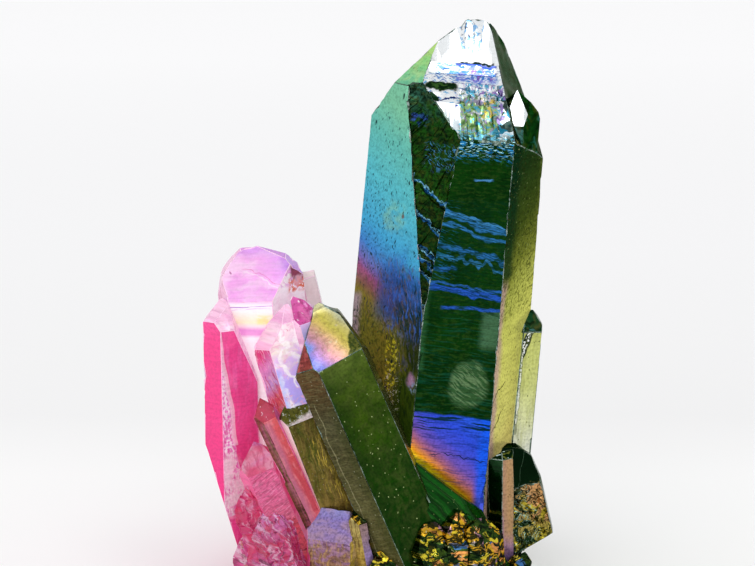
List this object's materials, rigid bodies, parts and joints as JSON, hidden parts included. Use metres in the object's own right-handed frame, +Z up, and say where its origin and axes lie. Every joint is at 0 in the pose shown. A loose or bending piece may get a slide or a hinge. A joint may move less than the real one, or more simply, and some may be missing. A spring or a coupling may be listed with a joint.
{
  "type": "aura quartz cluster",
  "caption": "Cluster of coated quartz crystals on a flat cut base: one tall prism with a rough tip beside a shorter pink group. A display piece that stands on its base.",
  "frame": {"origin": "a point on the flat base cut, near its middle, below the valley between the tall prism and the pink group", "axes": "+Z up along the tall prism, +X to the right towards the tall prism's side, -Y to the front where the green prism leans across the foot"},
  "size_m": [0.0454, 0.0394, 0.074],
  "materials": {
    "aura_quartz": "clear quartz under a thin metal film that shows interference colours: teal, green, blue, gold and violet on the tall prism, pink and red on the short group"
  },
  "bodies": {
    "root": {"quartz_cluster": "aura_quartz"}
  },
  "joints": []
}
